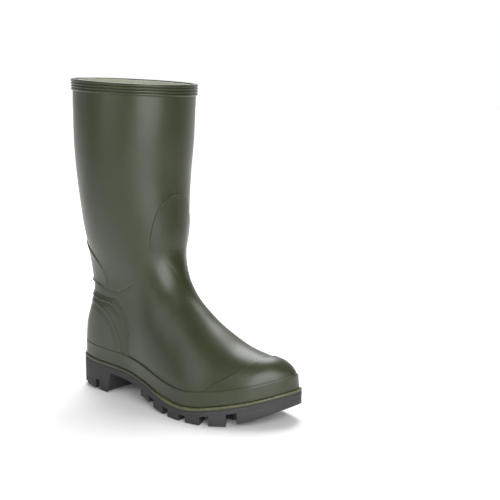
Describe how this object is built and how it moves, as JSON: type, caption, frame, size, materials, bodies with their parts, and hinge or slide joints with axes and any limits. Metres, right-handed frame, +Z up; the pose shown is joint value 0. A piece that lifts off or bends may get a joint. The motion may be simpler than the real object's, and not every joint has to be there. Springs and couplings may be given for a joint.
{
  "type": "rubber rain boot",
  "caption": "Knee-high rubber rain boot for the right foot, with a ribbed top band, a rand, a knitted lining and a lugged outsole.",
  "frame": {"origin": "on the floor under the middle of the boot's bounding box, with the boot standing on its sole", "axes": "+X from heel to toe, +Y to the big toe's side of this right boot, +Z up along the leg"},
  "size_m": [0.3036, 0.1316, 0.3739],
  "materials": {
    "olive_rubber": "semi-matte moulded rubber with a soft sheen",
    "welt_rubber": "semi-matte rubber with a knurled edge",
    "sole_rubber": "matte moulded rubber",
    "knit_lining": "fine knitted cotton",
    "tape": "woven tape",
    "footbed_felt": "needled felt on foam",
    "foam": "dense closed-cell foam",
    "board": "pressed fibre board",
    "stiffener": "resin-soaked fabric",
    "shank_steel": "rolled spring steel"
  },
  "bodies": {
    "foot": {"outsole": "sole_rubber", "heel_filler": "foam", "shank_plate": "shank_steel", "midsole": "foam", "insole_board": "board", "sock_lining": "knit_lining", "welt": "welt_rubber", "rand": "olive_rubber", "foot_shell": "olive_rubber", "ankle_section": "olive_rubber", "toe_cap": "olive_rubber", "heel_counter": "olive_rubber", "heel_counter_cap": "olive_rubber", "back_stay": "olive_rubber", "toe_stiffener": "stiffener", "heel_stiffener": "stiffener", "foot_lining": "knit_lining", "ankle_lining": "knit_lining"},
    "leg": {"leg_shell": "olive_rubber", "shin_panel": "olive_rubber", "top_band": "olive_rubber", "leg_lining": "knit_lining", "lining_tape": "tape"},
    "footbed": {"footbed": "footbed_felt"}
  },
  "joints": [
    {"name": "ankle_flex", "type": "hinge", "parent": "foot", "child": "leg", "pos_m": [-0.068, 0, 0.115], "axis": [0, 1, 0], "range_deg": [-10, 15], "stiffness_Nm_per_rad": 20, "deforming": ["ankle_section", "ankle_lining", "back_stay"]},
    {"name": "footbed_lift", "type": "hinge", "parent": "foot", "child": "footbed", "pos_m": [0.136, 0, 0.037], "axis": [0, 1, 0], "range_deg": [0, 8]}
  ]
}
